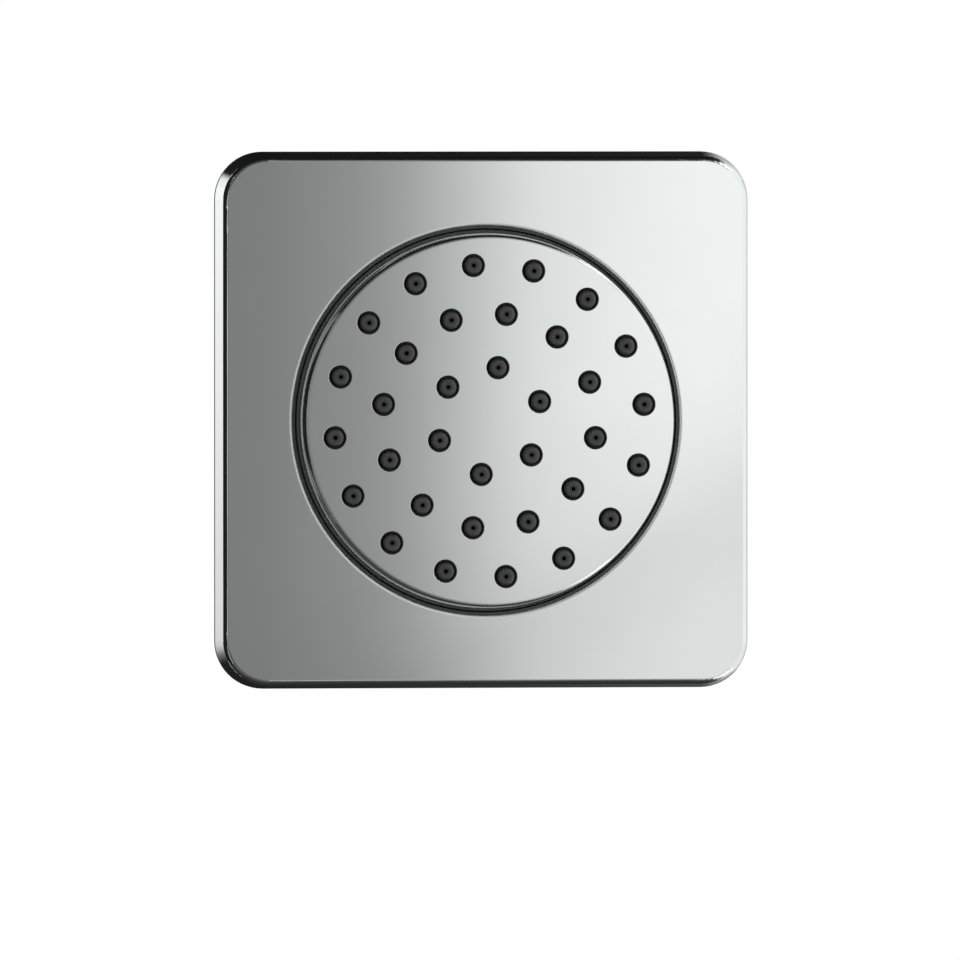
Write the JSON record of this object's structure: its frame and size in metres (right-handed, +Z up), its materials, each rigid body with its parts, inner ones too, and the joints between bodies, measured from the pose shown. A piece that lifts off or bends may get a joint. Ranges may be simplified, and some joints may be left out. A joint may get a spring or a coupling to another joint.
{
  "type": "shower body jet",
  "caption": "Square flush wall plate with a round swivelling spray head, rubber nozzles, concealed wall box and threaded water inlet.",
  "frame": {"origin": "centre of the jet on the finished wall's plane, at the back of the plate's gasket", "axes": "the jet faces -Y, +Y goes into the wall, +Z is up and +X is to the right seen from the front"},
  "size_m": [0.12, 0.0709, 0.12],
  "materials": {
    "chrome": "polished",
    "nozzle_silicone": "matte",
    "seal_rubber": "matte",
    "brass": "satin",
    "steel": "satin",
    "box_plastic": "matte",
    "head_plastic": "satin",
    "slide_plastic": "satin"
  },
  "bodies": {
    "wall_unit": {"face_plate": "chrome", "plate_o_ring": "seal_rubber", "wall_gasket": "seal_rubber", "wall_box": "box_plastic", "inlet_body": "brass", "sealing_washer": "seal_rubber", "back_washer": "steel", "back_nut": "brass", "filter_screen": "steel", "flow_regulator": "slide_plastic", "regulator_o_ring": "seal_rubber", "ball_stem": "brass", "stem_o_ring": "seal_rubber"},
    "seat": {"ball_seat": "slide_plastic"},
    "seal": {"ball_seal": "seal_rubber"},
    "head": {"spray_face": "chrome", "nozzle_mat": "nozzle_silicone", "diffuser_plate": "head_plastic", "head_shell": "head_plastic", "head_o_ring": "seal_rubber", "retaining_nut": "brass"}
  },
  "joints": [
    {"name": "head_tilt", "type": "hinge", "parent": "wall_unit", "child": "seat", "pos_m": [0, -0.0052, 0], "axis": [1, 0, 0], "range_deg": [-7, 7]},
    {"name": "head_pan", "type": "hinge", "parent": "seat", "child": "seal", "pos_m": [0, -0.0052, 0], "axis": [0, 0, 1], "range_deg": [-7, 7]},
    {"name": "head_spin", "type": "hinge", "parent": "seal", "child": "head", "pos_m": [0, -0.0052, 0], "axis": [0, 1, 0], "continuous": true}
  ]
}
